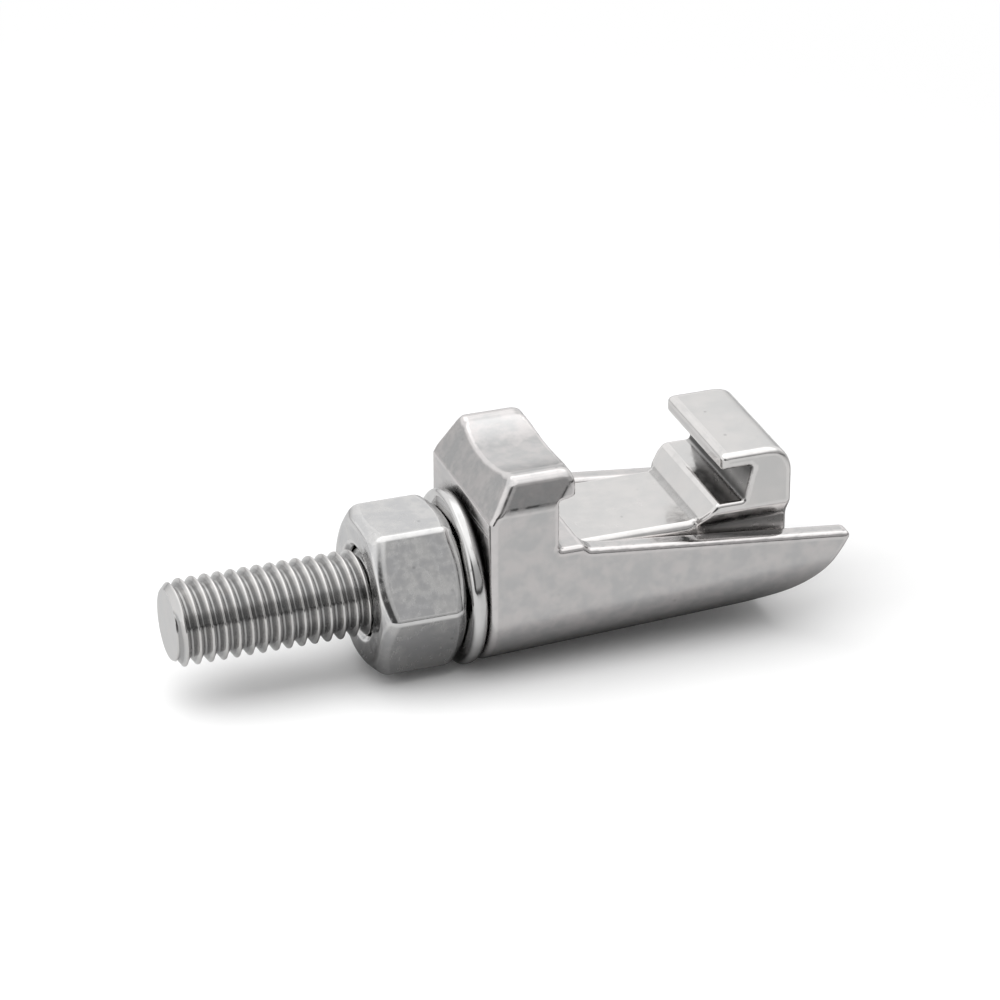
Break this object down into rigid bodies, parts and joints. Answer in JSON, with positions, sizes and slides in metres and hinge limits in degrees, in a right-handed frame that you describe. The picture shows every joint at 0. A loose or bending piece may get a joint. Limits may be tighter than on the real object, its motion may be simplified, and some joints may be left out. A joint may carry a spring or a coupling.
{
  "type": "vacuum flange claw clamp",
  "caption": "Double claw clamp for vacuum flanges: an outer claw with a channel, an inner claw sliding in it on a threaded stud, drawn up by a hexagon nut on a flat washer.",
  "frame": {"origin": "middle of the bounding box in X and Y, on the level of the lowest point, which is the washer's rim", "axes": "+X runs from the stud's free end to the toe of the outer claw, +Z is the side of the two claws, +Y is across the clamp"},
  "size_m": [0.0774, 0.02, 0.0258],
  "materials": {
    "claw_steel": "satin, tumbled casting",
    "fastener_steel": "bright turned and rolled"
  },
  "bodies": {
    "clamp_body": {"outer_claw": "claw_steel", "flat_washer": "fastener_steel"},
    "jaw": {"inner_claw": "claw_steel", "threaded_stud": "fastener_steel"},
    "nut": {"hex_nut": "fastener_steel"}
  },
  "joints": [
    {"name": "nut_spin", "type": "hinge", "parent": "clamp_body", "child": "nut", "pos_m": [-0.01671, 0, 0.01], "axis": [-1, 0, 0], "range_deg": [0, 4800]},
    {"name": "jaw_slide", "type": "slide", "parent": "clamp_body", "child": "jaw", "axis": [1, 0, 0], "range_m": [0, 0.02]}
  ],
  "couplings": [
    {"joint": "nut_spin", "follows": "jaw_slide", "rad_per_m": 4188.8}
  ]
}
